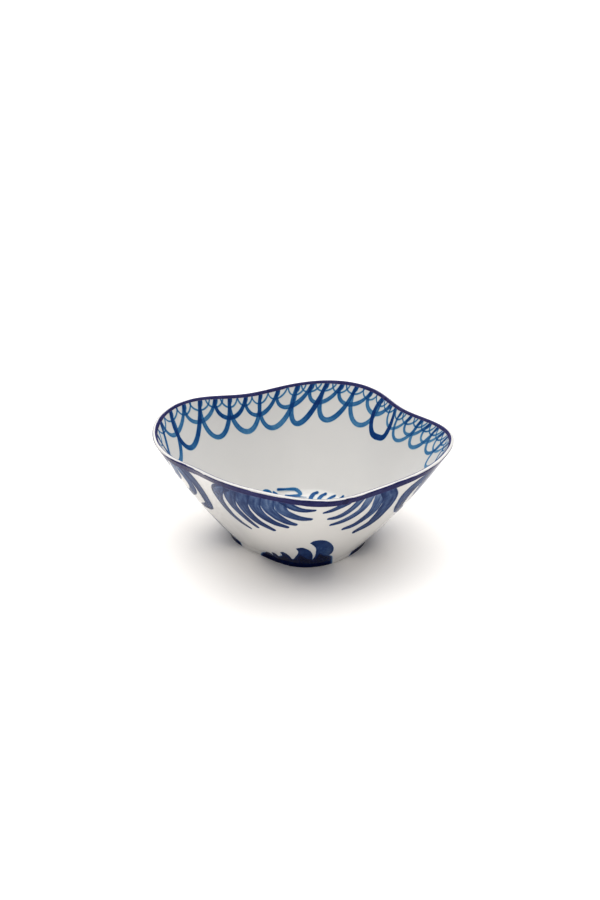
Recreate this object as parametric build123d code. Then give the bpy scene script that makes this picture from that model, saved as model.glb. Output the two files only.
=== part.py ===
from build123d import *
import math
import os

os.makedirs("parts", exist_ok=True)

# A hand-formed porcelain serving bowl: a low foot, a flaring wall and a soft-cornered, wavy lip.
# Millimetres. +Z is up and the foot stands on z = 0.

# ---- lip, seen from above ----
RIM_RADIUS = 115.3        # mean radius of the lip's outer edge
CORNER_REACH = 9.5        # how far the four soft corners stand out from the mean
CORNER_SOFTEN = 0.9       # blunts the corners and fills the flats between them
OVAL = 1.6                # one diagonal pair of corners is this much longer
OVAL_TURN = -6.0          # degrees
FOOT_OFFSET = 2.2         # the lip is this much off the foot's centre, towards -X

# ---- lip, seen from the side ----
RIM_HEIGHT = 93.6         # mean height of the lip's outer edge
CORNER_LIFT = 3.7         # the lip rises this much at the corners and dips as much between them
LIFT_TURN = -9.6          # degrees that the crests of the wave trail the corners
LEAN = 0.9                # the lip's lean, highest at LEAN_TURN
LEAN_TURN = -65.0
SADDLE = 1.5              # two opposite sides higher than the other two
SADDLE_TURN = 47.0
WARP = 3.1                # three-way warp of the hand-formed lip
WARP_TURN = 21.5

# ---- wall, floor and lip section ----
WALL_BULGE = 0.22         # outward swell of the wall between foot and lip
LIP_WIDTH = 3.4
LIP_CROWN = 1.3           # height of the rounded lip above its edges
WALL_AT_FOOT = 6.2        # horizontal thickness of the wall at its root
FLOOR_THICK = 5.6
FLOOR_BLEND = 3.0         # power of the blend between floor and wall

# ---- foot ----
FOOT_HEIGHT = 4.5
FOOT_TOP_RADIUS = 56.4    # mean radius where the wall leaves the foot
FOOT_CORNER = 1.9         # the foot is a slightly rounded square too
FOOT_TURN = 7.1           # degrees from +X to its first soft corner
FOOT_OVAL = 1.7           # one diagonal pair of its corners is this much longer
FOOT_OVAL_TURN = -8.7
FOOT_WARP = 2.6           # three-way warp of the hand-formed foot
FOOT_WARP_TURN = 64.2
FOOT_SHIFT = 2.5          # the foot's outline is pushed this much off its centre
FOOT_SHIFT_TURN = 153.5
FOOT_DRAFT = 1.3          # the foot narrows by this much towards the table
FOOT_WIDTH = 6.0
FOOT_INNER_DRAFT = 1.2
GLAZE_STOP = 0.9          # the glaze ends this far above the table

# ---- skins ----
GLAZE = 0.35
PAINT = 0.25

# ---- decoration: angles in degrees from +X, levels from 0 at the wall's root to 1 at the lip ----
BAND = (0.955, 0.995)            # the cobalt lines beside the lip
SCALLOPS = (0.655, 0.953)        # the border inside the lip
MEDALLION_TOP = 0.16             # the floor motif reaches this far up the wall
REPEATS = 4                      # the outside pattern repeats this often
WING_MEETING = 289.0             # where the first pair of wings point their tips at each other
WING_GAP = 1.5                   # half the gap between the tips of a pair
WING_SPANS = {"left": 46.0, "right": 34.0}
CREST_START = 237.0              # the low end of the first crest
CREST_SPAN = 68.0
CREST_LOBES = 5
CREST_LOW_Z = 1.2                # the crests stay clear of the table
CREST_TOP = 0.5                  # the ring of paint that the crests are cut from ends here

# A wing's outline, from the tip of its top stroke round the lower tips to its outermost head.
# Across is 0 at the meeting point and 1 at the outermost head.
WING_OUTLINE = (
    (0.0, 0.90), (0.06, 0.78), (0.2, 0.66), (0.4, 0.54), (0.62, 0.49), (0.78, 0.45),
    (0.9, 0.62), (0.98, 0.80), (1.0, 0.92), (0.8, 0.95), (0.45, 0.95), (0.15, 0.94),
)

RAIL_POINTS = 24                 # stations round each rail
WALL_LEVELS = (0.0, 0.08, 0.2, 0.35, 0.5, 0.65, 0.8, 0.92, 1.0)
INNER_LEVELS = (1.0, 0.92, 0.8, 0.65, 0.5, 0.35, 0.22, 0.12, 0.05, 0.0)
LIP_STEPS = (0, 30, 60, 90, 120, 150, 180)


def wave(angle, count, turn):
    return math.cos(math.radians(count * (angle - turn)))


def rim_radius(angle):
    radius = RIM_RADIUS + CORNER_REACH * wave(angle, 4, 0) - CORNER_SOFTEN * wave(angle, 8, 0)
    return radius + OVAL * wave(angle, 2, OVAL_TURN) - FOOT_OFFSET * wave(angle, 1, 0)


def rim_height(angle):
    height = RIM_HEIGHT + CORNER_LIFT * wave(angle, 4, LIFT_TURN) + LEAN * wave(angle, 1, LEAN_TURN)
    return height + SADDLE * wave(angle, 2, SADDLE_TURN) + WARP * wave(angle, 3, WARP_TURN)


def foot_radius(angle):
    radius = FOOT_TOP_RADIUS + FOOT_CORNER * wave(angle, 4, FOOT_TURN)
    radius += FOOT_OVAL * wave(angle, 2, FOOT_OVAL_TURN) + FOOT_WARP * wave(angle, 3, FOOT_WARP_TURN)
    return radius + FOOT_SHIFT * wave(angle, 1, FOOT_SHIFT_TURN)


# A level is 0 where the wall leaves the foot and 1 at the lip's edge.
def outer_point(angle, level, inset):
    spread = level + WALL_BULGE * level * (1 - level)
    root = foot_radius(angle)
    radius = root + (rim_radius(angle) - root) * spread - inset
    height = FOOT_HEIGHT + (rim_height(angle) - FOOT_HEIGHT) * level
    return radius, height


def inner_point(angle, level, inset):
    radius, height = outer_point(angle, level, 0)
    thickness = WALL_AT_FOOT + (LIP_WIDTH - WALL_AT_FOOT) * level
    rise = height - FOOT_HEIGHT
    floor_rise = (rise**FLOOR_BLEND + FLOOR_THICK**FLOOR_BLEND) ** (1 / FLOOR_BLEND)
    return radius - thickness + inset, FOOT_HEIGHT + floor_rise - inset


def lip_point(angle, step, inset):
    outer_r, outer_z = outer_point(angle, 1.0, inset)
    inner_r, inner_z = inner_point(angle, 1.0, inset)
    across = (1 - math.cos(math.radians(step))) / 2
    crown = LIP_CROWN * math.sin(math.radians(step))
    return outer_r + (inner_r - outer_r) * across, outer_z + (inner_z - outer_z) * across + crown


def foot_point(angle, height, inset):
    draft = FOOT_DRAFT * (1 - height / FOOT_HEIGHT)
    return foot_radius(angle) - draft - inset, height


def rail(point, *where):
    stations = []
    for index in range(RAIL_POINTS):
        angle = 360 * index / RAIL_POINTS
        radius, height = point(angle, *where)
        turn = math.radians(angle)
        stations.append(Vector(radius * math.cos(turn), radius * math.sin(turn), height))
    return Wire([Edge.make_spline(stations, periodic=True)])


def outer_rails(levels, inset):
    return [rail(outer_point, level, inset) for level in levels]


def inner_rails(levels, inset):
    return [rail(inner_point, level, inset) for level in levels]


def lip_rails(steps, inset):
    return [rail(lip_point, step, inset) for step in steps]


def strip(rails):
    return Shell.make_loft(rails, ruled=len(rails) == 2).faces()


def closed_solid(strips, caps=()):
    faces = []
    for rails in strips:
        faces.extend(strip(rails))
    for cap in caps:
        faces.append(Face(cap[0], cap[1:]) if isinstance(cap, list) else Face(cap))
    return Solid(Shell(faces))


# ---- the fired clay ----
def porcelain_body():
    outside = outer_rails(WALL_LEVELS, GLAZE)
    lip = lip_rails(LIP_STEPS, GLAZE)
    inside = inner_rails(INNER_LEVELS, GLAZE)
    return closed_solid([outside, lip, inside], caps=[outside[0], inside[-1]])


def foot_ring():
    top_out = rail(foot_point, FOOT_HEIGHT, GLAZE)
    edge_out = rail(foot_point, 0.0, GLAZE)
    edge_in = rail(foot_point, 0.0, FOOT_WIDTH)
    top_in = rail(foot_point, FOOT_HEIGHT, FOOT_WIDTH + FOOT_DRAFT + FOOT_INNER_DRAFT)
    strips = [[top_out, edge_out], [edge_in, top_in]]
    return closed_solid(strips, caps=[[edge_out, edge_in], [top_out, top_in]])


# ---- the glaze ----
def outer_glaze():
    foot_low = [rail(foot_point, GLAZE_STOP, inset) for inset in (0, GLAZE)]
    skin = outer_rails(WALL_LEVELS, 0)
    back = outer_rails(WALL_LEVELS, GLAZE)
    lip_skin = lip_rails(LIP_STEPS[:4], 0)
    lip_back = lip_rails(LIP_STEPS[:4], GLAZE)
    strips = [foot_low, [foot_low[0], skin[0]], skin, lip_skin]
    strips += [[lip_skin[-1], lip_back[-1]], lip_back, back, [back[0], foot_low[1]]]
    return closed_solid(strips)


def inner_glaze():
    skin = inner_rails(INNER_LEVELS, 0)
    back = inner_rails(INNER_LEVELS, GLAZE)
    lip_skin = lip_rails(LIP_STEPS[3:], 0)
    lip_back = lip_rails(LIP_STEPS[3:], GLAZE)
    strips = [lip_skin, skin, [lip_skin[0], lip_back[0]], lip_back, back]
    return closed_solid(strips, caps=[skin[-1], back[-1]])


def base_glaze():
    edge = FOOT_WIDTH + FOOT_DRAFT + FOOT_INNER_DRAFT + GLAZE
    outline = rail(foot_point, FOOT_HEIGHT, edge)
    return extrude(Face(outline), amount=GLAZE, dir=(0, 0, -1))


# ---- the cobalt painting ----
def ring_of_paint(rails, low, high):
    levels = [low] + [level for level in WALL_LEVELS if low < level < high] + [high]
    if len(levels) == 2:
        levels.insert(1, (low + high) / 2)
    back = rails(levels, 0)
    front = rails(levels, -PAINT)
    return closed_solid([back, front, [back[0], front[0]], [back[-1], front[-1]]])


def floor_motif():
    levels = (MEDALLION_TOP, 0.1, 0.05, 0.0)
    back = inner_rails(levels, 0)
    front = inner_rails(levels, -PAINT)
    return closed_solid([back, front, [back[0], front[0]]], caps=[back[-1], front[-1]])


# The ring of paint that the crests are cut from runs over the foot and the foot of the wall.
def crest_ring():
    levels = (0.0, 0.15, 0.32, CREST_TOP)
    rings = []
    for inset in (0, -PAINT):
        rings.append([rail(foot_point, CREST_LOW_Z, inset)] + outer_rails(levels, inset))
    back, front = rings
    strips = [back[:2], back[1:], front[:2], front[1:], [back[0], front[0]], [back[-1], front[-1]]]
    return closed_solid(strips)


def facing_plane(direction):
    turn = math.radians(direction)
    across = (-math.sin(turn), math.cos(turn), 0)
    return Plane(origin=(0, 0, 0), x_dir=across, z_dir=(math.cos(turn), math.sin(turn), 0))


# A patch is what a prism, pushed out along a radius, cuts from a full ring of paint.
def radial_cut(layer, direction, sketch_face):
    prism = extrude(facing_plane(direction) * sketch_face, amount=RIM_RADIUS + 2 * CORNER_REACH)
    return layer & prism


def wing(layer, meeting, side):
    span = WING_SPANS[side]
    sign = -1 if side == "left" else 1
    direction = meeting + sign * (WING_GAP + span / 2)
    points = []
    for across, level in WING_OUTLINE:
        angle = sign * span * (across - 0.5)
        radius, height = outer_point(direction + angle, level, 0)
        points.append(Vector(radius * math.sin(math.radians(angle)), height, 0))
    return radial_cut(layer, direction, Face(Wire([Edge.make_spline(points, periodic=True)])))


# A crest is a low band along the foot with lobes that grow towards its tall end.
def crest(layer, start):
    direction = start + CREST_SPAN / 2
    half = FOOT_TOP_RADIUS * math.sin(math.radians(CREST_SPAN / 2))
    sketch = Pos(0, 3.5) * Rectangle(2 * half, 7)
    for lobe in range(CREST_LOBES):
        grown = (lobe + 1) / CREST_LOBES
        size = 5.0 + 7.5 * grown**2
        along = -half + 5 + (2 * half - 15) * lobe / (CREST_LOBES - 1)
        rise = 4.0 + 24.0 * grown**2.2
        sketch += Pos(along, rise) * Circle(size)
        sketch += Pos(along, rise / 2) * Rectangle(1.6 * size, rise)
    return radial_cut(layer, direction, sketch)


def build():
    nodes = {
        "porcelain_body": porcelain_body(),
        "foot_ring": foot_ring(),
        "outer_glaze": outer_glaze(),
        "inner_glaze": inner_glaze(),
        "base_glaze": base_glaze(),
        "rim_band_outer": ring_of_paint(outer_rails, *BAND),
        "rim_line_inner": ring_of_paint(inner_rails, *BAND),
        "scallop_border": ring_of_paint(inner_rails, *SCALLOPS),
        "floor_motif": floor_motif(),
    }
    wing_ring = ring_of_paint(outer_rails, 0.40, 0.953)
    foot_paint = crest_ring()
    for index in range(REPEATS):
        turn = index * 360 / REPEATS
        for side in WING_SPANS:
            nodes[f"wing_{index + 1}_{side}"] = wing(wing_ring, WING_MEETING + turn, side)
        nodes[f"crest_{index + 1}"] = crest(foot_paint, CREST_START + turn)
    return nodes


# The origin goes to the middle of the whole bowl's plan, at table level.
def save_all(nodes):
    centre = nodes["outer_glaze"].bounding_box().center()
    shift = Pos(-centre.X, -centre.Y, 0)
    for node, shape in nodes.items():
        solids = (shift * shape).solids()
        placed = solids[0] if len(solids) == 1 else Compound(solids)
        placed.label = node
        export_step(placed, f"parts/{node}.step")


save_all(build())
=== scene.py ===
import math

import bpy
import numpy as np
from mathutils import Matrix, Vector
from mathutils.bvhtree import BVHTree


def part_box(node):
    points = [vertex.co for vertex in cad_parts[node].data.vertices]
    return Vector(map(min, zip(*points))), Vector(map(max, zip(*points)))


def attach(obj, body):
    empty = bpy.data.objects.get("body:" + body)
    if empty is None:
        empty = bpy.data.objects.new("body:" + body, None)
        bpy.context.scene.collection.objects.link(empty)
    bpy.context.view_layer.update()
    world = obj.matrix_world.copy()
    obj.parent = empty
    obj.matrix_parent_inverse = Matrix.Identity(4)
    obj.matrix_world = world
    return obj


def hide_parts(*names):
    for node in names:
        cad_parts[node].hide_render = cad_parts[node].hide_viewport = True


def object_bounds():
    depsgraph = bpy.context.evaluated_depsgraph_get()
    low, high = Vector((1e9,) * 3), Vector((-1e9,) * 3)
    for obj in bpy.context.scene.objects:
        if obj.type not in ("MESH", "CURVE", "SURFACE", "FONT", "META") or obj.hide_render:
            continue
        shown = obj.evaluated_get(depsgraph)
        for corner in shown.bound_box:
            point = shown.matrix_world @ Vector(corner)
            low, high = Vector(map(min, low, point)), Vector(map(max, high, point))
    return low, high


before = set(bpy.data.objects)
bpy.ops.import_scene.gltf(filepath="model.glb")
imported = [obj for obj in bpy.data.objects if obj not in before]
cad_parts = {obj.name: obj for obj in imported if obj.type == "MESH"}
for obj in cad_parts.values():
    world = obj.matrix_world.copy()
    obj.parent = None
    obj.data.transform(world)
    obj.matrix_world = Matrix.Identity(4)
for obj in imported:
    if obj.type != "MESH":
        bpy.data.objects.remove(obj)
cad_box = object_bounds()

MM = 0.001

# ---- what the CAD model doesn't say in one number ----
LIP_WIDTH = 3.4 * MM
LIP_CROWN = 1.3 * MM
LIP_QUARTER = 0.0237           # levels above 1 go over the lip, this far to its top
AXIS_OFFSET = 2.2 * MM         # the painter's middle is this much off the bowl's, towards +X
GLAZE_STOP = 0.9 * MM          # bare clay shows below this
GLAZE_THICK = 0.3 * MM
FOOT_LEVEL = GLAZE_STOP * 1.2  # the foot's radius is measured at this height
WALL_RADIUS = 100 * MM         # these two only set how fine and how tall the painted grids are
WALL_SLANT = 100 * MM
PAINT_LIFT = 0.08 * MM         # how far the painted layers stand above the glaze
LINE_LIFT = 0.11 * MM          # more for the rim lines, which lie over the other painting
FLOOR_LIFT = 0.3 * MM          # and more for the floor motif, where the glaze curves most
PAINT_DEPTH = 0.12 * MM        # how far the painted layers reach into the glaze
CREST_DEPTH = 0.4 * MM         # the crests reach down to the bare clay of the foot

# ---- how finely the surfaces are measured and made ----
MEASURE_ANGLES = 180
LIP_BETWEEN = (0.08, 0.16)     # the radii that the lip's edge lies between
LIP_HALVINGS = 22              # how often the search for it halves the gap
WALL_SAMPLES = 24
DISH_SAMPLES = 90
HARMONICS = 14                 # how many waves round the bowl are kept
GLAZE_ANGLES = 400
FOOT_ROWS = 8
WALL_ROWS = 70
LIP_ROWS = 14
DISH_ROWS = 90
POLE_SHARE = 0.012             # the coat's last row, as a share of the mouth's radius
UNDERSIDE_STEP = 4             # the coat's underside keeps one row in this many
PAINT_CELL = 0.42 * MM
BRUSH_STEP = 0.5 * MM
BRUSH_CHUNK = 3000             # points painted at a time

# ---- how the brush behaves ----
SOFT_EDGE = 0.55 * MM          # the paint thins out over this, along a stroke's edge
LINE_EDGE = 0.2 * MM
STREAK_LENGTH = 9 * MM
SECOND_COAT = 0.4
PAINT_ENDS = 0.04              # the painted layers are cut off where their density falls to this
LINE_ENDS = 1.2                # the rim lines have crisp edges, with no thin paint beside them
DENSEST = 5.0                  # the density that counts as 1 in the cobalt attribute
LINE_LIMIT = 4.0               # the most that each kind of painting can hold
WASH_LIMIT = 3.8
STROKE_LIMIT = 4.2
CREST_LIMIT = 5.6

# ---- the rim lines: name, whether inside, level, width in mm, density and seed ----
RIM_LINES = (
    ("rim_band_outer", False, 0.974, 6.2, 3.9, 11),
    ("rim_line_inner", True, 1.003, 3.2, 3.0, 51),
)
LINE_WANDER = 0.0022           # how far a line strays, in levels
LINE_SWELL = 0.09              # how much its width changes, as a share
LINE_PIECES = 10               # steps of a line that are painted as one stroke

# ---- the scallop border: turns in degrees, levels from foot to lip ----
BORDER_LOW = 0.62
RIM_TOP = 0.985
BORDER_SEED = 1801
EVEN_LOOPS = 10
EVEN_LEVEL = 0.665
EVEN_WIDTH = 4.5
LOOP_LEAN = 4.5
LEVEL_CHANGE = 0.012           # loops and arcs hang this much lower or higher by chance
# the least and most dense left side, bottom, right side and short loop of an even loop
PALE_LOADS = (1.5, 1.2, 1.5, 1.5)
DARK_LOADS = (2.6, 1.7, 2.8, 2.6)
KNOT_LOAD = 2.2                # how dense the two ends of a loop are
SHORT_LEVEL = 0.818            # a short loop joins the middles of two loops
SHORT_LEAN = 3.2
SHORT_SHARE = 0.86             # its brush as a share of the loop's
SHORT_KNOT_LOAD = 2.4
ARC_LEVEL = 0.915              # a small arc hangs at each knot and at each loop's middle
ARC_HALF = 4.3
ARC_HALF_CHANGE = 0.6
ARC_WIDTHS = (1.8, 2.1, 2.0, 2.1, 1.7)
ARC_LOADS = (1.8, 1.5, 1.8, 1.4, 1.8)
BLOT_ROUTE = ((-0.6, RIM_TOP + 0.008), (-0.1, 0.955), (0.4, 0.935))
BLOT_SHARES = (1, 0.9, 0.55)
BLOT_LOADS = (2.7, 2.5, 1.5)
# each loop: its two knots on the rim line, its lowest point's turn and level, the brush in mm,
# how dense its left side, bottom and right side are, and the short loop that hangs at its left
SHOWN_LOOPS = (
    (172, 156, 171, 0.655, 4.6, (3.0, 1.9, 2.8), 1.6),
    (156, 142, 154, 0.655, 4.4, (1.7, 1.6, 2.3), 1.6),
    (142, 125, 137, 0.675, 4.5, (1.8, 1.4, 1.8), 2.9),
    (125, 106, 120, 0.665, 4.4, (1.8, 1.4, 1.7), 2.3),
    (106, 93, 106, 0.655, 4.7, (1.7, 1.8, 3.1), 2.0),
    (93, 79, 91, 0.67, 4.5, (1.7, 1.6, 2.1), 1.9),
    (79, 62, 73, 0.68, 4.6, (1.5, 1.3, 1.5), 1.7),
    (62, 48, 54, 0.675, 5.0, (3.6, 3.5, 3.6), 1.5),
    (45, 31, 40, 0.745, 3.4, (1.5, 1.3, 1.4), 1.4),
    (31, 20, 28, 0.745, 3.6, (1.3, 1.3, 1.7), 1.5),
    (20, 9, 16, 0.77, 3.3, (1.5, 1.4, 1.6), 1.3),
    (9, -3, 8, 0.70, 3.2, (1.3, 1.2, 1.3), 1.3),
)
LOOP_WIDTHS = (0.66, 0.85, 1.0, 1.08, 1.12, 1.08, 1.0, 0.85, 0.66)
DARK_LOOP = 7                  # this one is a broad, dark loop with a flat bottom
DARK_ROUTE = ((62.6, 0.975), (64.3, 0.90), (65, 0.81), (63.7, 0.72), (60.4, 0.672), (55.4, 0.677),
              (50.6, 0.71), (49, 0.80), (49.2, 0.90), (50, 0.975))

# ---- the floor motif, in mm from the painter's middle ----
FLOOR_REACH = 60
FLOOR_SEED = 311
# each stroke: its route, its widths in mm and its densities
FLOOR_STROKES = (
    (((-34, 46.5), (-26.5, 51.3), (-20, 54.4), (-15.6, 53.2), (-16, 50.6), (-20, 48.6), (-27, 46)),
     (3.0, 2.6, 3.4, 4.2, 4.0, 3.2, 2.0), (2.8, 2.2, 1.8, 1.6, 1.8, 2.2)),
    (((-25, 47), (-16, 48), (-9, 48.5)), (1.6, 2.6, 1.2), (2.6, 2.4, 2.0)),
    (((-47, 34), (-44, 38.8), (-40, 40.4), (-37, 37)), (1.6, 3.4, 3.6, 2.2), (2.4, 1.9, 2.2)),
    (((-37, 42.5), (-34.5, 43)), (2.6, 2.2), (2.6, 2.4)),
    (((-0.8, 57), (-3.8, 54.5), (-4.4, 48), (-3, 41)), (3.2, 4.6, 4.2, 1.6), (3.0, 2.4, 2.0, 1.6)),
    (((7, 56.2), (4, 53.6), (3, 47), (3.6, 40)), (3.2, 4.4, 4.0, 1.6), (2.8, 2.2, 1.7, 1.5)),
    (((15.9, 53.8), (12.4, 51.8), (10.6, 45.6), (10.2, 39)), (2.8, 4.0, 3.6, 1.6), (2.6, 2.0, 1.7, 1.6)),
    (((24, 51.4), (20, 48.6), (17.6, 43), (16.2, 37)), (2.6, 3.8, 3.4, 1.6), (2.4, 2.0, 1.8, 1.6)),
    (((33, 45.6), (28.4, 43.6), (24.6, 38.6), (22, 33)), (2.6, 3.8, 3.4, 1.6), (2.4, 2.0, 1.8, 1.6)),
    (((41.5, 37.6), (36.4, 36.4), (31.6, 32.4), (27.6, 28)), (2.6, 3.8, 3.4, 1.6), (2.4, 2.0, 1.8, 1.6)),
)

WREATH_TURNS = range(190, 365, 29)
COMMA_ROUTE = ((24, -4), (36, 5), (47, 3), (54, -8), (49, -16))  # distances and turns
COMMA_WIDTHS = (1.6, 3.6, 4.2, 3.6, 1.8)
COMMA_LOADS = (2.6, 2.0, 1.7, 2.4)
CIRCLE_RADIUS = 15
CIRCLE_WIDTHS = (2.4, 3.4, 3.0, 2.2)
CIRCLE_LOADS = (2.6, 1.8, 2.0, 2.6)
DASH_ROUTE = ((-4, -1), (0, 2), (4, 0))
DASH_WIDTHS = (2.6, 4.0, 2.0)
DASH_LOADS = (2.6, 1.9, 2.4)

# ---- the wings: each stroke's route from where a pair of wings meets, its widest or all its widths
# in mm, and how dense its head, middle and tip are ----
WING_MEETING = 289
WING_TOP = 0.972
WING_MARGIN = (5, 0.03)        # degrees and levels that the canvas goes past the strokes
FRONT_SEED = 500               # the pair with this seed is the front one, and gets no chance shift
LEFT_FEATHERS = (
    (((-36.8, 0.94), (-43, 0.89), (-47.4, 0.79), (-47.6, 0.68), (-45.4, 0.566), (-40.8, 0.494),
      (-35.8, 0.448)), (6.4, 10.4, 13.2, 13.0, 11.6, 9.0, 4.6), (2.4, 2.7, 3.4)),
    (((-35, 0.955), (-38, 0.80), (-37.6, 0.70), (-33.7, 0.59), (-29.6, 0.51)), 11.0, (2.5, 2.7, 3.2)),
    (((-28.6, 0.955), (-31.4, 0.83), (-31, 0.71), (-27.4, 0.605), (-20.6, 0.53)), 11.4, (2.3, 2.8, 3.4)),
    (((-24, 0.955), (-25.5, 0.83), (-23.8, 0.72), (-19.2, 0.644), (-13.6, 0.612)), 10.4, (2.0, 2.7, 3.4)),
    (((-19.5, 0.955), (-19.8, 0.83), (-17, 0.74), (-13, 0.685), (-9.8, 0.668)), 10.4, (1.9, 2.5, 3.2)),
    (((-15, 0.955), (-14.3, 0.84), (-11, 0.785), (-7, 0.762), (-3.2, 0.763)), 9.0, (2.0, 2.1, 3.0)),
    (((-13.5, 0.955), (-9.5, 0.895), (-6, 0.878), (-1.8, 0.888)), 6.8, (2.5, 2.6, 3.2)),
)
RIGHT_FEATHERS = (
    (((13, 0.955), (9, 0.92), (5.8, 0.885), (2.1, 0.856)), 6.2, (2.6, 2.6, 3.2)),
    (((19.5, 0.955), (16.3, 0.865), (12.8, 0.808), (8.8, 0.772), (4.7, 0.764)), 7.4, (1.6, 2.8, 3.4)),
    (((24.5, 0.955), (22.8, 0.82), (19.5, 0.752), (13.5, 0.70), (6.6, 0.669)), 8.2, (1.2, 2.3, 3.2)),
    (((29.5, 0.955), (30.6, 0.78), (29, 0.674), (22, 0.58), (14.8, 0.562)), 9.4, (1.3, 2.6, 3.5)),
    (((33, 0.955), (36.8, 0.82), (37.3, 0.69), (34, 0.515), (24.7, 0.446)), 12.6, (2.6, 2.8, 3.4)),
)
FEATHER_WIDTHS = (1.08, 1.12, 1.08, 0.99, 0.87, 0.7, 0.45)
# how many degrees painted areas lie off their even places
WING_SHIFTS = {"wing_4_right": -11.3, "wing_4_left": -7, "wing_3_right": -5, "wing_3_left": -2,
               "wing_2_right": -1, "wing_2_left": 0.3}
OTHER_SPREAD = 0.9             # the pairs away from the front were painted a little narrower
CREST_SHIFTS = {"crest_4": -3.0}

# ---- the crests: outlines from the middle of a crest, each a few smooth sides ----
CREST_MIDDLE = 271
CREST_LOW = -0.047
CREST_HIGH = 0.47
CREST_MARGIN = 4
CREST_SEED = 900
CREST_BASE = (
    ((-35.5, -0.09), (-32.5, -0.01), (-25, 0.04), (-17, 0.085), (-12, 0.05), (-3, 0.12), (4, 0.085),
     (10, 0.18), (18, 0.10), (22, 0.22), (28, 0.15), (31, 0.14)),
    ((31, 0.14), (35, 0.09), (38, -0.01), (38, -0.09)),
    ((38, -0.09), (15, -0.09), (-15, -0.09), (-35.5, -0.09)),
)
CREST_LOBES = (
    (((-25.5, 0.015), (-22, 0.055), (-19, 0.073), (-16, 0.07), (-14.5, 0.045)),
     ((-14.5, 0.045), (-15, 0.0), (-25.5, 0.015))),
    (((-14.1, 0.093), (-12, 0.11), (-9.5, 0.10), (-8.2, 0.07), (-8, 0.03)),
     ((-8, 0.03), (-13, 0.0), (-16.5, 0.03)), ((-16.5, 0.03), (-14, 0.06), (-14.1, 0.093))),
    (((-4.6, 0.157), (-2.1, 0.178), (0.9, 0.148), (2.8, 0.09), (3.5, 0.05)),
     ((3.5, 0.05), (-3, 0.0), (-8.5, 0.03)), ((-8.5, 0.03), (-5, 0.07), (-4.2, 0.11), (-4.6, 0.157))),
    (((7.3, 0.28), (9, 0.296), (11.8, 0.305), (15.4, 0.263), (17.6, 0.2), (18.4, 0.124), (18.2, 0.08)),
     ((18.2, 0.08), (11, 0.02), (3.5, 0.056)), ((3.5, 0.056), (6.7, 0.143), (8.4, 0.22), (7.3, 0.28))),
    (((15.3, 0.39), (17.4, 0.426), (21, 0.436), (25.2, 0.405), (30, 0.31), (32.2, 0.228), (32.3, 0.158),
      (29.3, 0.112)), ((29.3, 0.112), (25, 0.05), (18.2, 0.08)),
     ((18.2, 0.08), (19.6, 0.152), (19.6, 0.235), (18.8, 0.31), (15.3, 0.39))),
)
CREST_LOADS = (5.2, 5.0, 4.6, 4.0, 3.3, 2.9)
BASE_FADE = 4 * MM             # the base gets thinner this near to its edge

# ---- colours, as the share of red, green and blue light that comes back ----
GLAZE_WHITE = (0.635, 0.622, 0.598)
SPECK_COLOUR = (0.32, 0.27, 0.22)
BARE_CLAY = (0.62, 0.595, 0.555)
FLOOR_PALE = (1.0, 0.975, 0.945)
GLAZE_IOR = 1.5
WHITE_SHINE = 0.32
# each kind of painting: how strongly it takes red, green and blue out of the white, and its shine
LINE_COBALT = ("cobalt_rim_line", (1.14, 1.12, 0.64), 0.03)
WASH_COBALT = ("cobalt_wash_paint", (1.9, 0.98, 0.47), 0.08)
STROKE_COBALT = ("cobalt_brush_strokes", (1.38, 1.06, 0.62), 0.03)
DARK_COBALT = ("cobalt_dark_wash", (1.5, 1.08, 0.62), 0.02)
COBALT_STOPS = (0, 0.06, 0.14, 0.25, 0.38, 0.55, 0.75, 1)
COBALT_FLOOR = (0.002, 0.004, 0.015)

# ---- view and light ----
AIM = Vector((-0.0008, -0.0008, 0.0804))
VIEW_LIFT = 25.55
VIEW_TURN = 13.1
VIEW_DISTANCE = 1.079
LENS = 52
SENSOR_WIDTH = 36
FLOOR_HALF = 8
WORLD_COLOUR = (0.95, 0.97, 1.02)
WORLD_STRENGTH = 0.46
# name, turn and height in degrees, how wide it looks in degrees, power, colour
SOFT_LIGHTS = (
    ("overhead_softbox", 115, 75, 80, 3.5, (1.0, 0.99, 0.97)),
    ("front_fill", -77, 35, 60, 0.16, (1.0, 0.88, 0.74)),
)


# ==== The bowl's skin, measured on the CAD nodes: turn is degrees from +X about the painter's middle,
# level is 0 where the wall leaves the foot and 1 at the lip's edge.
def tree_of(node):
    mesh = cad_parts[node].data
    points = [vertex.co for vertex in mesh.vertices]
    return BVHTree.FromPolygons(points, [list(face.vertices) for face in mesh.polygons])


def smooth_round(values):
    """Keeps only the slow waves of values measured at even steps round the bowl."""
    waves = np.fft.rfft(values, axis=0)
    waves[HARMONICS + 1:] = 0
    return waves


def at_turns(waves, turns):
    """Values at any turns from the waves that smooth_round kept."""
    phase = np.radians(np.asarray(turns, float))
    total = np.zeros(phase.shape + waves.shape[1:])
    for number in range(HARMONICS + 1):
        share = (1 if number == 0 else 2) / MEASURE_ANGLES
        cosine = np.cos(number * phase)
        sine = np.sin(number * phase)
        real = waves[number].real * share
        imaginary = waves[number].imag * share
        total = total + np.multiply.outer(cosine, real) - np.multiply.outer(sine, imaginary)
    return total


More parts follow.
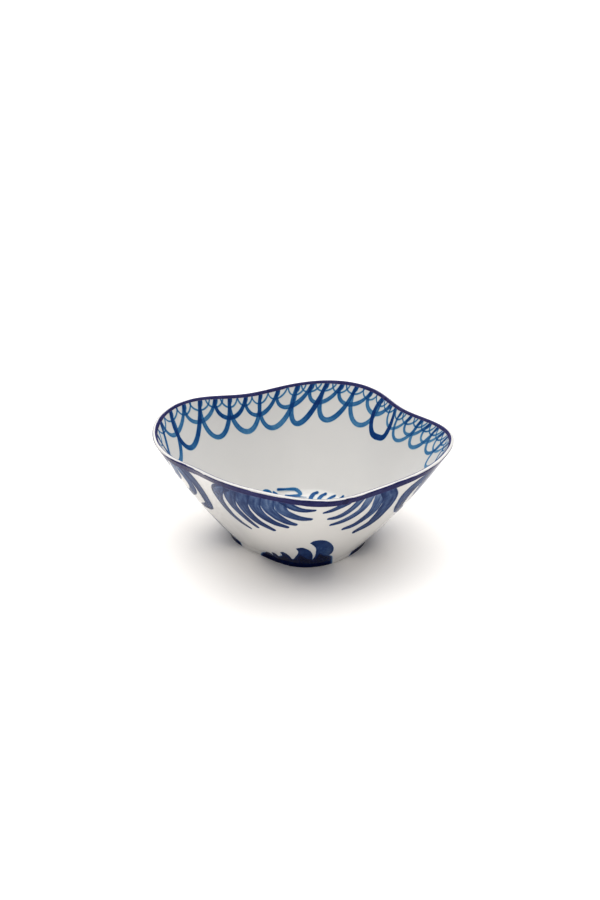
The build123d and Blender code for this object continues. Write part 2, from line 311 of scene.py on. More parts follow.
class Skin:
    def __init__(self):
        low, high = cad_box
        self.axis = (Vector(low) + Vector(high)) / 2 + Vector((AXIS_OFFSET, 0, 0))
        self.foot_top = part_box("foot_ring")[1].z
        self.outside = tree_of("outer_glaze")
        self.inside = tree_of("inner_glaze")
        self.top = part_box("outer_glaze")[1].z
        turns = np.arange(MEASURE_ANGLES) * 360 / MEASURE_ANGLES
        self.measure_lip(turns)
        self.measure_wall(turns)
        self.measure_dish(turns)

    def place(self, turn, radius, height):
        angle = math.radians(turn)
        return Vector((
            self.axis.x + radius * math.cos(angle), self.axis.y + radius * math.sin(angle), height))

    def down(self, tree, turn, radius):
        hit = tree.ray_cast(self.place(turn, radius, self.top + 0.02), Vector((0, 0, -1)))
        return None if hit[0] is None else hit[0].z

    def measure_lip(self, turns):
        edges = []
        crests = []
        for turn in turns:
            inner, outer = LIP_BETWEEN
            for _ in range(LIP_HALVINGS):
                middle = (inner + outer) / 2
                if self.down(self.outside, turn, middle) is None:
                    outer = middle
                else:
                    inner = middle
            edges.append(inner)
            shares = np.linspace(0.1, 0.49, 12)
            heights = [self.down(self.outside, turn, inner - LIP_WIDTH * share) for share in shares]
            crests.append(max(height for height in heights if height is not None))
        self.edge_waves = smooth_round(np.array(edges))
        self.crest_waves = smooth_round(np.array(crests))

    def edge_radius(self, turns):
        return at_turns(self.edge_waves, turns)

    def edge_height(self, turns):
        return at_turns(self.crest_waves, turns) - LIP_CROWN

    def measure_wall(self, turns):
        levels = np.linspace(0.03, 0.95, WALL_SAMPLES)
        powers = np.stack([np.ones_like(levels), levels, levels**2, levels**3], 1)
        curves = []
        foot = []
        for turn, rim, edge in zip(turns, self.edge_height(turns), self.edge_radius(turns)):
            inward = self.place(turn, -1, 0) - self.place(turn, 0, 0)
            radii = []
            for height in [self.foot_top + (rim - self.foot_top) * level for level in levels]:
                hit = self.outside.ray_cast(self.place(turn, edge + 0.01, height), inward)[0]
                radii.append(math.hypot(hit.x - self.axis.x, hit.y - self.axis.y))
            curves.append(np.linalg.lstsq(powers, np.array(radii), rcond=None)[0])
            hit = self.outside.ray_cast(self.place(turn, edge, FOOT_LEVEL), inward)[0]
            foot.append(math.hypot(hit.x - self.axis.x, hit.y - self.axis.y))
        self.wall_waves = smooth_round(np.array(curves))
        self.foot_waves = smooth_round(np.array(foot))

    def measure_dish(self, turns):
        self.shares = np.linspace(0, 1, DISH_SAMPLES)
        heights = []
        for turn, edge, rim in zip(turns, self.edge_radius(turns), self.edge_height(turns)):
            radii = self.shares * (edge - LIP_WIDTH)
            column = [self.down(self.inside, turn, radius) for radius in radii[:-1]]
            heights.append(column + [rim])
        self.dish_waves = smooth_round(np.array(heights))

    def outer(self, turns, levels):
        """Points on the outside, for arrays of turns and levels. Levels under 0 are on the foot."""
        turns, levels = np.broadcast_arrays(np.asarray(turns, float), np.asarray(levels, float))
        shape = turns.shape
        turns = turns.ravel()
        levels = levels.ravel()
        unique, back = np.unique(turns, return_inverse=True)
        curve = at_turns(self.wall_waves, unique)[back]
        rim = self.edge_height(unique)[back]
        foot = at_turns(self.foot_waves, unique)[back]
        up = np.clip(levels, 0, None)
        radius = curve[:, 0] + curve[:, 1] * up + curve[:, 2] * up**2 + curve[:, 3] * up**3
        height = self.foot_top + (rim - self.foot_top) * levels
        below = np.clip((self.foot_top - height) / (self.foot_top - FOOT_LEVEL), 0, None)
        radius = radius + (foot - curve[:, 0]) * below
        place = self.points(turns, radius, height)
        over = levels > 1
        place[over] = self.lip(turns[over], (levels[over] - 1) / LIP_QUARTER * math.pi / 2)
        return place.reshape(shape + (3,))

    def lip(self, turns, bends):
        """Points on the rounded lip, from bend 0 at its outer edge to half a turn at its inner edge."""
        half = LIP_WIDTH / 2
        radius = self.edge_radius(turns) - half + half * np.cos(bends)
        return self.points(turns, radius, self.edge_height(turns) + LIP_CROWN * np.sin(bends))

    def inner(self, turns, shares):
        """Points on the inside, for arrays of turns and shares of the mouth's radius."""
        turns, shares = np.broadcast_arrays(np.asarray(turns, float), np.asarray(shares, float))
        shape = turns.shape
        turns = turns.ravel()
        shares = shares.ravel()
        unique, back = np.unique(turns, return_inverse=True)
        columns = at_turns(self.dish_waves, unique)
        mouth = (self.edge_radius(unique) - LIP_WIDTH)[back]
        place = np.clip(shares, 0, 1) * (DISH_SAMPLES - 1)
        index = np.clip(place.astype(int), 1, DISH_SAMPLES - 3)
        part = place - index
        height = np.zeros(len(turns))
        for step, weight in (
            (-1, -part * (part - 1) * (part - 2) / 6),
            (0, (part + 1) * (part - 1) * (part - 2) / 2),
            (1, -(part + 1) * part * (part - 2) / 2),
            (2, (part + 1) * part * (part - 1) / 6),
        ):
            height += weight * columns[back, index + step]
        return self.points(turns, mouth * shares, height).reshape(shape + (3,))

    def inner_at_levels(self, turns, levels):
        """Points on the inside, for arrays of turns and levels."""
        turns, levels = np.broadcast_arrays(np.asarray(turns, float), np.asarray(levels, float))
        unique, back = np.unique(turns.ravel(), return_inverse=True)
        columns = at_turns(self.dish_waves, unique)
        rim = self.edge_height(unique)
        wanted = self.foot_top + (rim[back] - self.foot_top) * levels.ravel()
        shares = np.zeros(len(wanted))
        order = np.argsort(back, kind="stable")
        ends = np.searchsorted(back[order], np.arange(len(unique) + 1))
        for index, column in enumerate(columns):
            chosen = order[ends[index]:ends[index + 1]]
            shares[chosen] = np.interp(wanted[chosen], column, self.shares)
        place = self.inner(turns, shares.reshape(turns.shape))
        over = levels > 1
        place[over] = self.lip(turns[over], math.pi - (levels[over] - 1) / LIP_QUARTER * math.pi / 2)
        return place

    def points(self, turns, radius, height):
        angle = np.radians(turns)
        return np.stack([
            self.axis.x + radius * np.cos(angle), self.axis.y + radius * np.sin(angle), height], -1)


skin = Skin()


# ==== Meshes ====
def unit(vectors):
    return vectors / np.maximum(np.linalg.norm(vectors, axis=-1, keepdims=True), 1e-12)


def grid_normals(points, closed):
    """Normals of a grid of points, whose columns go round and whose rows go up or outwards."""
    if closed:
        along = np.roll(points, -1, axis=1) - np.roll(points, 1, axis=1)
    else:
        along = np.gradient(points, axis=1)
    return unit(np.cross(along, np.gradient(points, axis=0)))


def make_piece(name, vertices, faces, normals, material, stands_for):
    """A smooth mesh that rides on the bowl and takes the place of CAD nodes.

    normals has one row for each corner of each face, in order."""
    mesh = bpy.data.meshes.new(name)
    mesh.from_pydata(vertices.tolist(), [], faces)
    mesh.shade_smooth()
    mesh.normals_split_custom_set(normals.tolist())
    mesh.materials.append(material)
    piece = bpy.data.objects.new(name, mesh)
    bpy.context.scene.collection.objects.link(piece)
    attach(piece, "root")
    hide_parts(*stands_for)
    return piece


def grid_cells(rows, columns, closed=True):
    """The four corners of each cell of a grid, which may close on itself round its columns."""
    wide = columns if closed else columns - 1
    row, column = np.meshgrid(np.arange(rows - 1), np.arange(wide), indexing="ij")
    beside = (column + 1) % columns
    return np.stack([row * columns + column, row * columns + beside,
                     (row + 1) * columns + beside, (row + 1) * columns + column], -1).reshape(-1, 4)


# ==== The glaze: one closed coat from the foot, up the wall, over the lip and down to the floor ====
def coat_rows(turns):
    """Points on the coat, row by row, from the bottom of the foot to the middle of the floor."""
    rim = skin.edge_height(turns)
    wall = rim - skin.foot_top
    rows = []
    for height in np.linspace(GLAZE_STOP, skin.foot_top, FOOT_ROWS, endpoint=False):
        rows.append(skin.outer(turns, (height - skin.foot_top) / wall))
    for level in np.linspace(0, 1, WALL_ROWS, endpoint=False):
        rows.append(skin.outer(turns, np.full_like(turns, level)))
    for bend in np.linspace(0, math.pi, LIP_ROWS, endpoint=False):
        rows.append(skin.lip(turns, bend))
    for share in np.linspace(1, POLE_SHARE, DISH_ROWS):
        rows.append(skin.inner(turns, np.full_like(turns, share)))
    return np.array(rows)


def glaze_coat(material):
    turns = np.arange(GLAZE_ANGLES) * 360 / GLAZE_ANGLES
    outside = coat_rows(turns)
    normals = grid_normals(outside, closed=True)
    kept = list(range(0, len(outside), UNDERSIDE_STEP)) + [len(outside) - 1]
    under = (outside - normals * GLAZE_THICK)[kept]
    rows = len(outside)
    columns = GLAZE_ANGLES
    vertices = np.concatenate([outside.reshape(-1, 3), under.reshape(-1, 3)])
    pole = outside[-1].mean(axis=0)
    vertices = np.concatenate([vertices, [pole, pole - Vector((0, 0, GLAZE_THICK))]])
    start = rows * columns
    faces = grid_cells(rows, columns).tolist()
    faces += (start + grid_cells(len(kept), columns)[:, ::-1]).tolist()
    last = (rows - 1) * columns
    last_under = start + (len(kept) - 1) * columns
    top, bottom = len(vertices) - 2, len(vertices) - 1
    for column in range(columns):
        beside = (column + 1) % columns
        faces.append([last + column, last + beside, top])
        faces.append([last_under + beside, last_under + column, bottom])
        faces.append([beside, column, start + column, start + beside])
    flat = np.concatenate([normals.reshape(-1, 3), -normals[kept].reshape(-1, 3), [[0, 0, 1], [0, 0, -1]]])
    corners = np.concatenate([np.array(face) for face in faces])
    stands_for = ["outer_glaze", "inner_glaze"]
    return make_piece("glaze_coat", vertices, faces, flat[corners], material, stands_for)


# ==== Brushwork. A canvas is a fine grid on the glaze, with how much cobalt lies at each point.
# The cobalt that a brush leaves is cut out along its edge as a thin layer of its own.
def spline(points, steps=14):
    """A smooth line through a few points, by Catmull-Rom."""
    given = np.array(points, float)
    given = np.vstack([2 * given[0] - given[1], given, 2 * given[-1] - given[-2]])
    part = np.linspace(0, 1, steps, endpoint=False)[:, None]
    spans = []
    for a, b, c, d in zip(given, given[1:], given[2:], given[3:]):
        spans.append(0.5 * (2 * b + (c - a) * part + (2 * a - 5 * b + 4 * c - d) * part**2
                            + (3 * b - a - 3 * c + d) * part**3))
    return np.vstack(spans + [given[-2:-1]])


def even_steps(line, step):
    """The same line of 3-D points, cut to even steps."""
    along = np.concatenate([[0], np.cumsum(np.linalg.norm(np.diff(line, axis=0), axis=1))])
    wanted = np.linspace(0, along[-1], max(int(along[-1] / step), 2) + 1)
    return np.stack([np.interp(wanted, along, line[:, axis]) for axis in range(3)], 1), wanted


def ease(value):
    value = np.clip(value, 0, 1)
    return value * value * (3 - 2 * value)


def grain(seed, x, y):
    """Smooth noise of about -1 to 1 that repeats only after 64 units."""
    table = np.random.default_rng(seed).uniform(-1, 1, (64, 64))
    left = np.floor(x).astype(int)
    low = np.floor(y).astype(int)
    u = ease(x - left)
    v = ease(y - low)
    total = 0
    for dx, weight_x in ((0, 1 - u), (1, u)):
        for dy, weight_y in ((0, 1 - v), (1, v)):
            total = total + table[(left + dx) % 64, (low + dy) % 64] * weight_x * weight_y
    return total


def profile(share, values):
    """Values given at even steps along a stroke."""
    return np.interp(share, np.linspace(0, 1, len(values)), values)


class Canvas:
    def __init__(self, place, across, upward, closed=False, inside=False):
        self.place = place
        self.closed = closed
        self.flip = inside
        self.grid = np.meshgrid(across, upward)
        self.points = place(*self.grid)
        self.normals = grid_normals(self.points, closed) * (-1 if inside else 1)
        self.paint = np.zeros(self.grid[0].shape)

    def add(self, where, amount):
        """A second wet coat adds a part of itself to the first."""
        there = self.paint[where]
        self.paint[where] = np.maximum(there, amount) + SECOND_COAT * np.minimum(there, amount)

    def brush(self, path, widths, loads, seed, streaks=0.2, pool=0.25, wobble=0.05, soft=SOFT_EDGE):
        """One stroke of a round brush. widths is in mm and loads in density, at even steps."""
        route = spline(path)
        line, along = even_steps(self.place(route[:, 0], route[:, 1]), BRUSH_STEP)
        reach = max(widths) * MM / 2 * 1.2
        near = np.all((self.points > line.min(0) - reach) & (self.points < line.max(0) + reach), axis=2)
        rows, columns = np.nonzero(near)
        tangents = unit(np.gradient(line, axis=0))
        for start in range(0, len(rows), BRUSH_CHUNK):
            part = slice(start, start + BRUSH_CHUNK)
            where = (rows[part], columns[part])
            spot = self.points[where]
            gap = np.linalg.norm(spot[:, None] - line[None], axis=2)
            nearest = gap.argmin(1)
            distance = gap[np.arange(len(spot)), nearest]
            share = along[nearest] / along[-1]
            half = profile(share, widths) * MM / 2
            half = half * (1 + wobble * grain(seed + 1, share * 9, share * 0 + seed % 7))
            side = np.cross(tangents[nearest], self.normals[where])
            offset = np.einsum("ij,ij->i", spot - line[nearest], side) / half
            cover = ease((half - distance) / np.minimum(soft, half * 0.6))
            streak = grain(seed, offset * 3.5 + 20, along[nearest] / STREAK_LENGTH)
            fine = grain(seed + 2, offset * 8 + 30, along[nearest] / STREAK_LENGTH * 1.7)
            amount = profile(share, loads) * (1 + pool * (np.abs(offset) ** 3 - 0.25))
            amount = amount * (1 + streaks * (0.65 * streak + 0.35 * fine))
            self.add(where, cover * np.clip(amount, 0, None))

    def fill(self, outline, load, seed, pool=0.35, soft=SOFT_EDGE):
        """A filled shape, a little darker where the cobalt gathered round its edge."""
        route = np.vstack([spline(side) for side in outline])
        line, _ = even_steps(self.place(route[:, 0], route[:, 1]), BRUSH_STEP)
        x, y = self.grid
        within = np.zeros(x.shape, bool)
        for (x1, y1), (x2, y2) in zip(route, np.roll(route, -1, axis=0)):
            if y1 != y2:
                crossing = x1 + (y - y1) * (x2 - x1) / (y2 - y1)
                within ^= ((y1 > y) != (y2 > y)) & (x < crossing)
        rows, columns = np.nonzero(within)
        spot = self.points[rows, columns]
        distance = np.full(len(spot), np.inf)
        for start in range(0, len(spot), BRUSH_CHUNK):
            part = slice(start, start + BRUSH_CHUNK)
            distance[part] = np.linalg.norm(spot[part, None] - line[None], axis=2).min(1)
        cloud = grain(seed, spot[:, 0] / (5 * MM) + 30, spot[:, 2] / (5 * MM) + 30)
        streak = grain(seed + 1, spot[:, 0] / (1.2 * MM) + 30, spot[:, 1] / (1.2 * MM) + 30)
        edge = np.exp(-distance / (1.3 * MM))
        amount = load * (1 - pool * 0.4 + pool * edge + 0.16 * cloud + 0.08 * streak)
        self.add((rows, columns), ease(distance / soft) * amount)

    def cut(self, least):
        """Faces of the painted part, and the corners added where the density falls to least."""
        level = self.paint.ravel() - least
        cells = grid_cells(*self.paint.shape, self.closed)
        painted = (level[cells] > 0).sum(1)
        faces = cells[painted == 4].tolist()
        ends = {}
        added = []

        def crossing(a, b):
            key = (a, b) if a < b else (b, a)
            if key not in ends:
                ends[key] = len(level) + len(added)
                added.append((*key, level[key[0]] / (level[key[0]] - level[key[1]])))
            return ends[key]

        for cell in cells[(painted > 0) & (painted < 4)].tolist():
            for triangle in ((cell[0], cell[1], cell[2]), (cell[0], cell[2], cell[3])):
                face = []
                for a, b in zip(triangle, triangle[1:] + triangle[:1]):
                    if level[a] > 0:
                        face.append(a)
                    if (level[a] > 0) != (level[b] > 0):
                        face.append(crossing(a, b))
                if len(face) > 2:
                    faces.append(face)
        return faces, np.array(added)

    def layer(self, name, material, slot, limit, lift=PAINT_LIFT, depth=PAINT_DEPTH, least=PAINT_ENDS):
        """The painted part as a thin closed layer, sunk into the glaze, in place of one CAD node."""
        self.paint = limit * (1 - np.exp(-(self.paint / limit) * (1 + self.paint / limit)))
        faces, added = self.cut(least)
        first = added[:, 0].astype(int)
        second = added[:, 1].astype(int)
        share = added[:, 2:3]

        def with_cuts(values):
            values = values.reshape(len(self.paint.ravel()), -1)
            return np.vstack([values, values[first] * (1 - share) + values[second] * share])

        points = with_cuts(self.points)
        normals = unit(with_cuts(self.normals))
        paint = with_cuts(self.paint)[:, 0]
        used, renamed = np.unique(np.concatenate(faces), return_inverse=True)
        sizes = [len(face) for face in faces]
        tops = [part.tolist() for part in np.split(renamed, np.cumsum(sizes)[:-1])]
        if self.flip:
            tops = [face[::-1] for face in tops]
        count = len(used)
        edges = {(a, b) for face in tops for a, b in zip(face, face[1:] + face[:1])}
        rim = sorted((a, b) for a, b in edges if (b, a) not in edges)
        bottoms = [[corner + count for corner in reversed(face)] for face in tops]
        sides = [[b, a, a + count, b + count] for a, b in rim]
        top_points = points[used] + normals[used] * lift
        low_points = points[used] - normals[used] * depth
        faces = tops + bottoms + sides
        corners = np.concatenate([np.array(face) for face in faces])
        flat = np.vstack([normals[used], -normals[used]])[corners]
        flat[len(corners) - 4 * len(sides):] = 0
        points = np.vstack([top_points, low_points])
        piece = make_piece(f"painted_{name}", points, faces, flat, material, [name])
        density = piece.data.attributes.new("cobalt", "FLOAT", "POINT")
        density.data.foreach_set("value", np.tile(paint[used], 2) / DENSEST)
        return piece


def steps_between(low, high, size):
    return np.linspace(low, high, int(abs(high - low) / size) + 1)


def wall_canvas(low, high, start, end):
    """A canvas on the outside of the wall, between two levels and two turns."""
    across = steps_between(start, end, math.degrees(PAINT_CELL / WALL_RADIUS))
    upward = steps_between(low, high, PAINT_CELL / WALL_SLANT)
    return Canvas(skin.outer, across, upward)


def ring_canvas(low, high, inside):
    count = int(2 * math.pi * WALL_RADIUS * 1.2 / PAINT_CELL)
    across = np.arange(count) * 360 / count
    upward = steps_between(low, high, PAINT_CELL / WALL_SLANT)
    place = skin.inner_at_levels if inside else skin.outer
    return Canvas(place, across, upward, closed=True, inside=inside)


# ---- the painted lines just under the lip ----
def rim_ring(name, inside, middle, width, load, seed, material):
    span = width / 2 * MM / WALL_SLANT * 1.5
    canvas = ring_canvas(middle - span, middle + span, inside)
    turns = np.arange(0, 361, 6.0)
    wander = LINE_WANDER * grain(seed, turns / 21, turns * 0)
    widths = width * (1 + LINE_SWELL * grain(seed + 3, turns / 17, turns * 0))
    wander[-1], widths[-1] = wander[0], widths[0]
    for start in range(0, len(turns) - 1, LINE_PIECES):
        part = slice(start, start + LINE_PIECES + 1)
        path = np.stack([turns[part], middle + wander[part]], 1)
        canvas.brush(path, widths[part], [load, load * 0.9, load], seed + start, streaks=0.12, pool=0.2,
                     soft=LINE_EDGE)
    return canvas.layer(name, material, "cobalt_line", LINE_LIMIT, lift=LINE_LIFT, least=LINE_ENDS)


# ---- the scallop border inside ----
def hanging(left, right, lowest, depth, narrow):
    """A loop between two knots on the rim line: one cubic curve, which hangs to lowest and depth."""
    drop = (depth - RIM_TOP) / 0.75
    lean = (lowest - (left + right) / 2) / 0.75
    inset = narrow * (right - left)
    corners = np.array([(left, RIM_TOP), (left + inset + lean, RIM_TOP + drop),
                        (right - inset + lean, RIM_TOP + drop), (right, RIM_TOP)])
    share = np.linspace(0, 1, 13)[:, None]
    rest = 1 - share
    return (rest**3 * corners[0] + 3 * rest**2 * share * corners[1]
            + 3 * rest * share**2 * corners[2] + share**3 * corners[3])


def border_loops(draw):
    """The loops that were drawn one by one, and even ones for the rest of the way round."""
    loops = list(SHOWN_LOOPS)
    knots = np.linspace(SHOWN_LOOPS[-1][1], SHOWN_LOOPS[0][0] - 360, EVEN_LOOPS + 1)
    for left, right in zip(knots, knots[1:]):
        lowest = (left + right) / 2 + LOOP_LEAN + draw.uniform(-1, 1)
        depth = EVEN_LEVEL + draw.uniform(-LEVEL_CHANGE, LEVEL_CHANGE)
        side, bottom, other, short = draw.uniform(PALE_LOADS, DARK_LOADS)
        loops.append((left, right, lowest, depth, EVEN_WIDTH, (side, bottom, other), short))
    return loops


def scallop_border(material):
    """Long loops, short loops that join their middles, small arcs, and a blot at each knot."""
    canvas = ring_canvas(BORDER_LOW, RIM_TOP + 0.02, inside=True)
    draw = np.random.default_rng(BORDER_SEED)
    loops = border_loops(draw)
    for index, (left, right, lowest, depth, width, loads, short) in enumerate(loops):
        seed = BORDER_SEED + 20 * index
        route = DARK_ROUTE if index == DARK_LOOP else hanging(left, right, lowest, depth, -0.13)
        side, bottom, other = loads
        canvas.brush(route, [width * share for share in LOOP_WIDTHS],
                     [KNOT_LOAD, side, side, bottom, other, other, KNOT_LOAD], seed)
        before = loops[index - 1]
        start = (before[0] + before[1]) / 2 if abs(before[1] - left) < 1 else left + 8
        finish = (left + right) / 2
        sag = SHORT_LEVEL + draw.uniform(-LEVEL_CHANGE, LEVEL_CHANGE)
        canvas.brush(hanging(start, finish, (start + finish) / 2 + SHORT_LEAN, sag, 0.02),
                     [width * SHORT_SHARE * share for share in LOOP_WIDTHS],
                     [SHORT_KNOT_LOAD, short, short * 0.85, short, SHORT_KNOT_LOAD], seed + 5)
        for knot in (left, finish):
            half = ARC_HALF + draw.uniform(-ARC_HALF_CHANGE, ARC_HALF_CHANGE)
            low = ARC_LEVEL + draw.uniform(-LEVEL_CHANGE, 0.008)
            canvas.brush(hanging(knot + half, knot - half, knot + 0.8, low, 0.15),
                         ARC_WIDTHS, ARC_LOADS, seed + 7)
            blot = [(knot + across, level) for across, level in BLOT_ROUTE]
            canvas.brush(blot, [width * share for share in BLOT_SHARES], BLOT_LOADS, seed + 9)
    return canvas.layer("scallop_border", material, "cobalt_wash", WASH_LIMIT)


# ---- the painted motif on the floor ----
def on_floor(across, along):
    """Points on the inside, from flat distances to the painter's middle, in mm."""
    turns = np.degrees(np.arctan2(along, across))
    radius = np.hypot(across, along) * MM
    mouth = skin.edge_radius(turns) - LIP_WIDTH
    return skin.inner(turns, radius / mouth)


def floor_motif(material):
    """A curl and a fan of dashes at one side, and a plain wreath of commas round the rest."""
    steps = steps_between(-FLOOR_REACH, FLOOR_REACH, PAINT_CELL / MM)
    canvas = Canvas(on_floor, steps, steps)
    for index, (path, widths, loads) in enumerate(FLOOR_STROKES):
        canvas.brush(path, widths, loads, FLOOR_SEED + 10 * index)
    for index, turn in enumerate(WREATH_TURNS):
        path = [(reach * math.cos(math.radians(turn + sway)), reach * math.sin(math.radians(turn + sway)))
                for reach, sway in COMMA_ROUTE]
        canvas.brush(path, COMMA_WIDTHS, COMMA_LOADS, FLOOR_SEED + 70 + 5 * index)
    angles = np.linspace(0.4, 6.5, 10)
    circle = [(CIRCLE_RADIUS * math.cos(angle), CIRCLE_RADIUS * math.sin(angle)) for angle in angles]
    canvas.brush(circle, CIRCLE_WIDTHS, CIRCLE_LOADS, FLOOR_SEED + 110)
    canvas.brush(DASH_ROUTE, DASH_WIDTHS, DASH_LOADS, FLOOR_SEED + 120)
    return canvas.layer("floor_motif", material, "cobalt_wash", WASH_LIMIT, lift=FLOOR_LIFT)


# ---- the wings: feather strokes that hang from the rim band ----
def wing(name, strokes, turn, seed, material):
    lowest = min(level for stroke in strokes for _, level in stroke[0])
    turns = [where for stroke in strokes for where, _ in stroke[0]]
    beside, below = WING_MARGIN
    canvas = wall_canvas(lowest - below, WING_TOP, turn + min(turns) - beside, turn + max(turns) + beside)
    draw = np.random.default_rng(seed)
    for index, (path, width, loads) in enumerate(strokes):
        shift, spread = (draw.uniform(-0.4, 0.4), OTHER_SPREAD) if seed > FRONT_SEED else (0, 1)
        placed = [(turn + where * spread + shift, level) for where, level in path]
        widths = width if isinstance(width, tuple) else [width * share for share in FEATHER_WIDTHS]
        canvas.brush(placed, widths, loads, seed + 10 * index, streaks=0.42, pool=0.4, wobble=0.03)
    return canvas.layer(name, material, "cobalt_stroke", STROKE_LIMIT)


# ---- the crests: lobes like breaking waves that stand on the foot ----
def crest(name, turn, seed, material):
    turns = [where for side in CREST_BASE for where, _ in side]
    canvas = wall_canvas(
        CREST_LOW, CREST_HIGH, turn + min(turns) - CREST_MARGIN, turn + max(turns) + CREST_MARGIN)
    shapes = [CREST_BASE] + [list(lobe) for lobe in CREST_LOBES]
    for index, shape in enumerate(shapes):
        outline = [[(turn + where, level) for where, level in side] for side in shape]
        if index == 0:
            canvas.fill(outline, CREST_LOADS[0], seed, pool=0, soft=BASE_FADE)
        else:
            canvas.fill(outline, CREST_LOADS[index], seed + 10 * index)
    return canvas.layer(name, material, "cobalt_dark", CREST_LIMIT, depth=CREST_DEPTH)


# ==== Materials ====
class Recipe:
    """A node material, built a node at a time."""

    def __init__(self, name):
        self.material = bpy.data.materials.new(name)
        self.material.use_nodes = True
        self.nodes = self.material.node_tree.nodes
        self.link = self.material.node_tree.links.new
        self.shader = self.nodes["Principled BSDF"]
        self.place = self.nodes.new("ShaderNodeTexCoord").outputs["Object"]

    def noise(self, scale, detail=3.0, roughness=0.5):
        node = self.nodes.new("ShaderNodeTexNoise")
        node.inputs["Scale"].default_value = scale
        node.inputs["Detail"].default_value = detail
        node.inputs["Roughness"].default_value = roughness
        self.link(self.place, node.inputs["Vector"])
        return node.outputs["Fac"]

    def cells(self, scale):
        node = self.nodes.new("ShaderNodeTexVoronoi")
        node.inputs["Scale"].default_value = scale
        self.link(self.place, node.inputs["Vector"])
        return node.outputs["Distance"]

    def fit(self, value, low, high, to_low, to_high):
        node = self.nodes.new("ShaderNodeMapRange")
        for name, number in (
            ("From Min", low), ("From Max", high), ("To Min", to_low), ("To Max", to_high)):
            node.inputs[name].default_value = number
        self.link(value, node.inputs["Value"])
        return node.outputs["Result"]

    def math(self, kind, first, second):
        node = self.nodes.new("ShaderNodeMath")
        node.operation = kind
        for index, value in enumerate((first, second)):
            if isinstance(value, (int, float)):
                node.inputs[index].default_value = value
            else:
                self.link(value, node.inputs[index])
        return node.outputs["Value"]

    def ramp(self, value, stops):
        node = self.nodes.new("ShaderNodeValToRGB")
        elements = node.color_ramp.elements
        while len(elements) < len(stops):
            elements.new(0.5)
        for element, (place, colour) in zip(elements, stops):
            element.position = place
            element.color = (*colour, 1)
        self.link(value, node.inputs["Fac"])
        return node.outputs["Color"]

    def blend(self, share, first, second):
        node = self.nodes.new("ShaderNodeMix")
        node.data_type = "RGBA"
        self.link(share, node.inputs["Factor"])
        for name, value in (("A", first), ("B", second)):
            socket = [s for s in node.inputs if s.name == name and s.type == "RGBA"][0]
            if isinstance(value, tuple):
                socket.default_value = (*value, 1)
            else:
                self.link(value, socket)
        return [s for s in node.outputs if s.type == "RGBA"][0]

    def attribute(self, name):
        node = self.nodes.new("ShaderNodeAttribute")
        node.attribute_name = name
        return node.outputs["Fac"]

    def bump(self, height, strength, distance):
        node = self.nodes.new("ShaderNodeBump")
        node.inputs["Strength"].default_value = strength
        node.inputs["Distance"].default_value = distance
        self.link(height, node.inputs["Height"])
        self.link(node.outputs["Normal"], self.shader.inputs["Normal"])

    def colour(self, value):
        self.link(value, self.shader.inputs["Base Color"])

    def roughness(self, value):
        self.link(value, self.shader.inputs["Roughness"])


def shade_of(colour, share):
    return tuple(channel * share for channel in colour)


def gloss(recipe, shine):
    """The fired surface that bare and painted glaze share: glassy, with a faint ripple."""
    recipe.shader.inputs["IOR"].default_value = GLAZE_IOR
    recipe.shader.inputs["Specular IOR Level"].default_value = shine
    recipe.roughness(recipe.fit(recipe.noise(90, 4), 0.35, 0.7, 0.07, 0.13))
    ripple = recipe.math("ADD", recipe.noise(70, 2), recipe.math("MULTIPLY", recipe.noise(600, 2), 0.05))
    recipe.bump(ripple, 0.10, 0.4 * MM)


def white_glaze(recipe):
    """Milky white, a little cloudy, with a few fine specks from the clay."""
    stops = [(0.3, shade_of(GLAZE_WHITE, 0.975)), (0.7, GLAZE_WHITE)]
    cloud = recipe.ramp(recipe.noise(22, 4, 0.55), stops)
    speck = recipe.fit(recipe.cells(260), 0.035, 0.075, 1, 0)
    rare = recipe.fit(recipe.noise(75, 1), 0.60, 0.66, 0, 0.45)
    return recipe.blend(recipe.math("MULTIPLY", speck, rare), cloud, SPECK_COLOUR)


def glaze_material():
    recipe = Recipe("clear_white_glaze")
    recipe.colour(white_glaze(recipe))
    gloss(recipe, WHITE_SHINE)
    return recipe.material


def cobalt_material(name, absorbs, shine):
    """Cobalt under the glaze: the more of it at a point, the more of the white it takes away."""
    recipe = Recipe(name)
    density = recipe.attribute("cobalt")
    mottle = recipe.fit(recipe.noise(420, 5, 0.65), 0.25, 0.75, 0.86, 1.14)
    pool = recipe.fit(recipe.noise(120, 3), 0.3, 0.7, 0.92, 1.08)
    varied = recipe.math("MULTIPLY", recipe.math("MULTIPLY", density, mottle), pool)
    stops = []
    for place in COBALT_STOPS:
        colour = [white * math.exp(-k * place * DENSEST) for white, k in zip(GLAZE_WHITE, absorbs)]
        stops.append((place, tuple(max(channel, floor) for channel, floor in zip(colour, COBALT_FLOOR))))
    recipe.colour(recipe.ramp(varied, stops))
    gloss(recipe, shine)
    return recipe.material


def bare_material():
    """Fired clay with no glaze: matt and finely gritty, greyer where the foot has rubbed."""
    recipe = Recipe("bare_fired_clay")
    grit = recipe.noise(1800, 3, 0.7)
    clay = recipe.ramp(recipe.noise(160, 5, 0.6), [(0.3, shade_of(BARE_CLAY, 0.93)), (0.7, BARE_CLAY)])
    rubbed = recipe.fit(recipe.noise(45, 3), 0.55, 0.75, 0, 0.5)
    recipe.colour(recipe.blend(rubbed, clay, shade_of(BARE_CLAY, 0.78)))
    recipe.roughness(recipe.fit(grit, 0.2, 0.8, 0.68, 0.92))
    recipe.bump(grit, 0.5, 0.06 * MM)
    return recipe.material


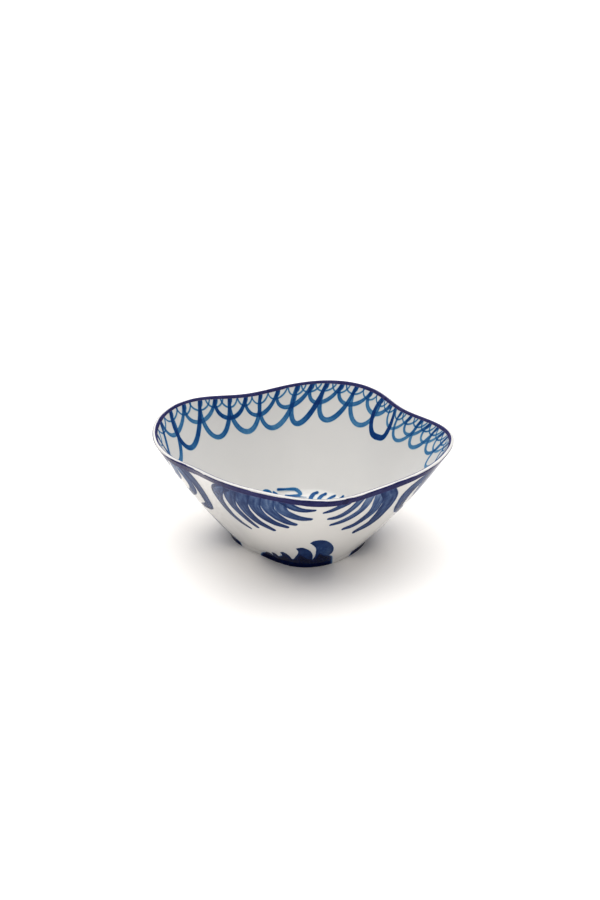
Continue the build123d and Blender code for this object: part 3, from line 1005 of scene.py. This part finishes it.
def body_material():
    """The dense white clay under the glaze."""
    recipe = Recipe("porcelain_clay")
    clay = recipe.ramp(recipe.noise(60, 4), [(0.35, shade_of(BARE_CLAY, 0.97)), (0.65, BARE_CLAY)])
    recipe.colour(clay)
    recipe.roughness(recipe.fit(recipe.noise(900, 2), 0.3, 0.7, 0.45, 0.6))
    recipe.bump(recipe.noise(1200, 3), 0.2, 0.03 * MM)
    return recipe.material


def give(node, material):
    """A carried-over CAD node keeps its mesh and gets a better finish."""
    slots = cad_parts[node].material_slots
    for slot in slots:
        slot.material = material
    if not slots:
        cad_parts[node].data.materials.append(material)


# ==== The bowl ====
def make_bowl():
    glaze = glaze_material()
    line = cobalt_material(*LINE_COBALT)
    wash = cobalt_material(*WASH_COBALT)
    stroke = cobalt_material(*STROKE_COBALT)
    dark = cobalt_material(*DARK_COBALT)
    give("porcelain_body", body_material())
    give("foot_ring", bare_material())
    give("base_glaze", glaze)
    glaze_coat(glaze)
    for name, *numbers in RIM_LINES:
        rim_ring(name, *numbers, line)
    scallop_border(wash)
    floor_motif(wash)
    for index in range(4):
        turn = index * 90
        for side, feathers in (("left", LEFT_FEATHERS), ("right", RIGHT_FEATHERS)):
            name = f"wing_{index + 1}_{side}"
            meeting = WING_MEETING + turn + WING_SHIFTS.get(name, 0)
            wing(name, feathers, meeting, FRONT_SEED + 7 * index, stroke)
        name = f"crest_{index + 1}"
        crest(name, CREST_MIDDLE + turn + CREST_SHIFTS.get(name, 0), CREST_SEED + index, dark)


# ==== Floor, light and camera ====
def make_floor():
    mesh = bpy.data.meshes.new("floor")
    corners = [(FLOOR_HALF * x, FLOOR_HALF * y) for x, y in ((-1, -1), (1, -1), (1, 1), (-1, 1))]
    mesh.from_pydata([(x, y, cad_box[0][2]) for x, y in corners], [], [(0, 1, 2, 3)])
    recipe = Recipe("pale_floor")
    pale = recipe.ramp(recipe.noise(6, 3), [(0.3, shade_of(FLOOR_PALE, 0.995)), (0.7, FLOOR_PALE)])
    recipe.colour(pale)
    recipe.shader.inputs["Roughness"].default_value = 0.9
    recipe.shader.inputs["Specular IOR Level"].default_value = 0.0
    mesh.materials.append(recipe.material)
    floor = bpy.data.objects.new("floor", mesh)
    bpy.context.scene.collection.objects.link(floor)


def soft_sun(name, turn, lift, spread, power, colour):
    """A very large softbox, so far off that it lights the whole floor evenly."""
    data = bpy.data.lights.new(name, "SUN")
    data.angle = math.radians(spread)
    data.energy = power
    data.color = colour
    light = bpy.data.objects.new(name, data)
    around = math.radians(turn)
    up = math.radians(lift)
    towards = Vector((math.cos(up) * math.cos(around), math.cos(up) * math.sin(around), math.sin(up)))
    light.rotation_euler = towards.to_track_quat("Z", "Y").to_euler()
    bpy.context.scene.collection.objects.link(light)


def make_light():
    world = bpy.data.worlds.new("studio")
    world.use_nodes = True
    background = world.node_tree.nodes["Background"]
    background.inputs["Color"].default_value = (*WORLD_COLOUR, 1)
    background.inputs["Strength"].default_value = WORLD_STRENGTH
    bpy.context.scene.world = world
    for light in SOFT_LIGHTS:
        soft_sun(*light)
    bpy.context.scene.view_settings.view_transform = "Standard"


def make_camera():
    data = bpy.data.cameras.new("camera")
    data.lens = LENS
    data.sensor_width = SENSOR_WIDTH
    camera = bpy.data.objects.new("camera", data)
    up = math.radians(VIEW_LIFT)
    around = math.radians(VIEW_TURN)
    away = Vector((math.sin(around) * math.cos(up), -math.cos(around) * math.cos(up), math.sin(up)))
    camera.location = AIM + away * VIEW_DISTANCE
    camera.rotation_euler = (math.radians(90 - VIEW_LIFT), 0, around)
    bpy.context.scene.collection.objects.link(camera)
    bpy.context.scene.camera = camera


make_bowl()
make_floor()
make_light()
make_camera()
